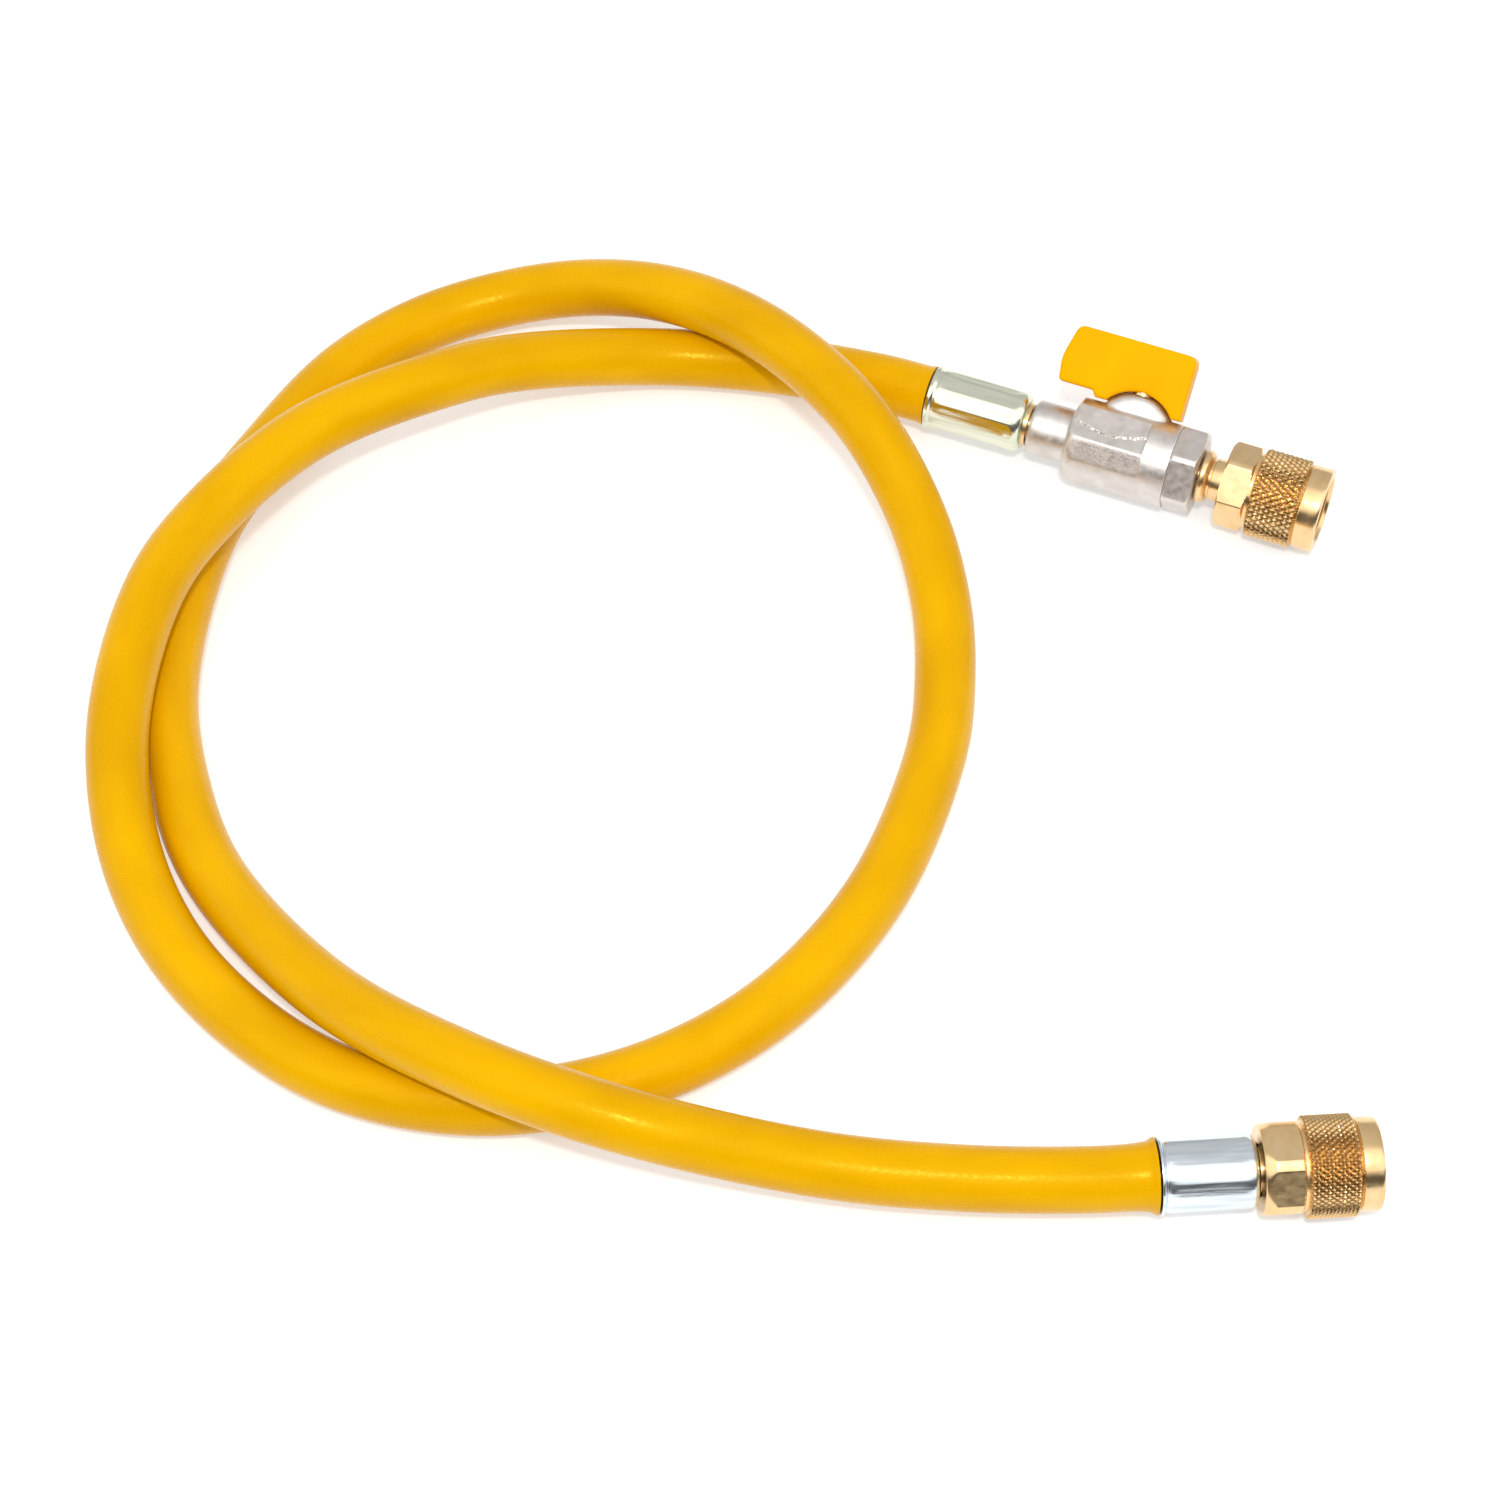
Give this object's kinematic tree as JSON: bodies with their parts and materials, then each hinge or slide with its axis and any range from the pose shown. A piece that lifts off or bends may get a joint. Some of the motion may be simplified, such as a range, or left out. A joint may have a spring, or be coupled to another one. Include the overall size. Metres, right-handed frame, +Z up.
{
  "type": "refrigerant charging hose",
  "caption": "Yellow refrigerant charging hose, loosely coiled, with a small ball valve and yellow lever on one end and a knurled brass swivel nut on each end.",
  "frame": {"origin": "on the floor, at the middle of the box round the end fittings", "axes": "+X from the fittings' hose ends towards the nuts' mouths, +Y from the free end towards the valve end, +Z up"},
  "size_m": [0.1994, 0.1825, 0.0222],
  "materials": {
    "hose_rubber": "semi-gloss yellow rubber with a fine fabric print",
    "handle_plastic": "moulded yellow plastic, satin",
    "nickel": "nickel plate over a bead-blasted casting, satin",
    "ball_chrome": "polished",
    "brass": "machined and bright, pale gold",
    "zinc": "bright zinc plate with crimp marks along it",
    "seat_plastic": "smooth white sealing plastic",
    "seal_rubber": "matte black"
  },
  "bodies": {
    "hose_and_valve": {"hose": "hose_rubber", "ferrule_a": "zinc", "tail_a": "brass", "valve_body": "nickel", "seat_inlet": "seat_plastic", "seat_outlet": "seat_plastic", "end_cap": "nickel", "nipple": "brass", "seal_a": "seal_rubber", "ferrule_b": "zinc", "tail_b": "brass", "seal_b": "seal_rubber"},
    "lever": {"handle": "handle_plastic", "stem": "brass", "ball": "ball_chrome"},
    "swivel_a": {"nut_a": "brass"},
    "swivel_b": {"nut_b": "brass"}
  },
  "joints": [
    {"name": "lever_turn", "type": "hinge", "parent": "hose_and_valve", "child": "lever", "pos_m": [-0.00013, 0.0616, 0.0074], "axis": [0.2754, 0.7027, 0.6561], "range_deg": [0, 90]},
    {"name": "swivel_a_turn", "type": "hinge", "parent": "hose_and_valve", "child": "swivel_a", "pos_m": [0.0157, 0.0554, 0.0074], "axis": [0.9311, -0.3649, 0], "continuous": true},
    {"name": "swivel_b_turn", "type": "hinge", "parent": "hose_and_valve", "child": "swivel_b", "pos_m": [0.01075, -0.07301, 0.0075], "axis": [0.9978, 0.0663, 0], "continuous": true}
  ]
}
